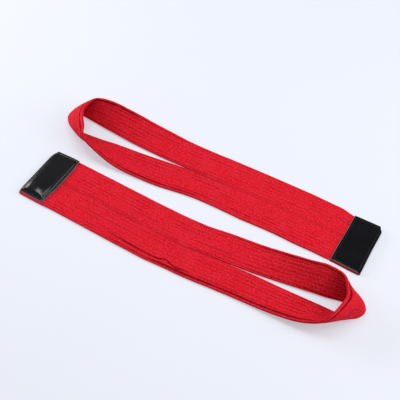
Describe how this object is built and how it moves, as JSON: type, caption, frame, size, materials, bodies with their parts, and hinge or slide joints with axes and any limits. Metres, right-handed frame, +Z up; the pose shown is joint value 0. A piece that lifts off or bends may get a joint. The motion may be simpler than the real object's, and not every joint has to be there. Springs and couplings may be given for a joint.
{
  "type": "gymnastics bar wrist strap pair",
  "caption": "Pair of quilted cotton wrist loop straps for the horizontal bar, each a belt doubled into a flat tail with an open wrist loop and a leather-bound end.",
  "frame": {"origin": "middle of the footprint of the two straps, on the surface they lie on", "axes": "+X along the straps, from the loop of strap A towards the loop of strap B; +Y from strap B to strap A; +Z up"},
  "size_m": [0.4897, 0.192, 0.0385],
  "materials": {
    "cotton_face": "quilted cotton twill",
    "cotton_back": "quilted cotton twill",
    "core_cotton": "plain woven core",
    "red_thread": "spun polyester thread",
    "black_leather": "fine grained, semi matt",
    "black_thread": "waxed thread"
  },
  "bodies": {
    "strap_a": {"strap_a_face_ply": "cotton_face", "strap_a_core": "core_cotton", "strap_a_back_ply": "cotton_back", "strap_a_row_stitching": "red_thread", "strap_a_seam_zigzag": "red_thread", "strap_a_bar_tack": "red_thread", "strap_a_end_tab": "black_leather", "strap_a_tab_stitching": "black_thread"},
    "strap_b": {"strap_b_face_ply": "cotton_face", "strap_b_core": "core_cotton", "strap_b_back_ply": "cotton_back", "strap_b_row_stitching": "red_thread", "strap_b_seam_zigzag": "red_thread", "strap_b_bar_tack": "red_thread", "strap_b_end_tab": "black_leather", "strap_b_tab_stitching": "black_thread"}
  },
  "joints": [
    {"name": "strap_b_lift", "type": "slide", "parent": "strap_a", "child": "strap_b", "axis": [0, 0, 1], "range_m": [0, 0.15]}
  ]
}
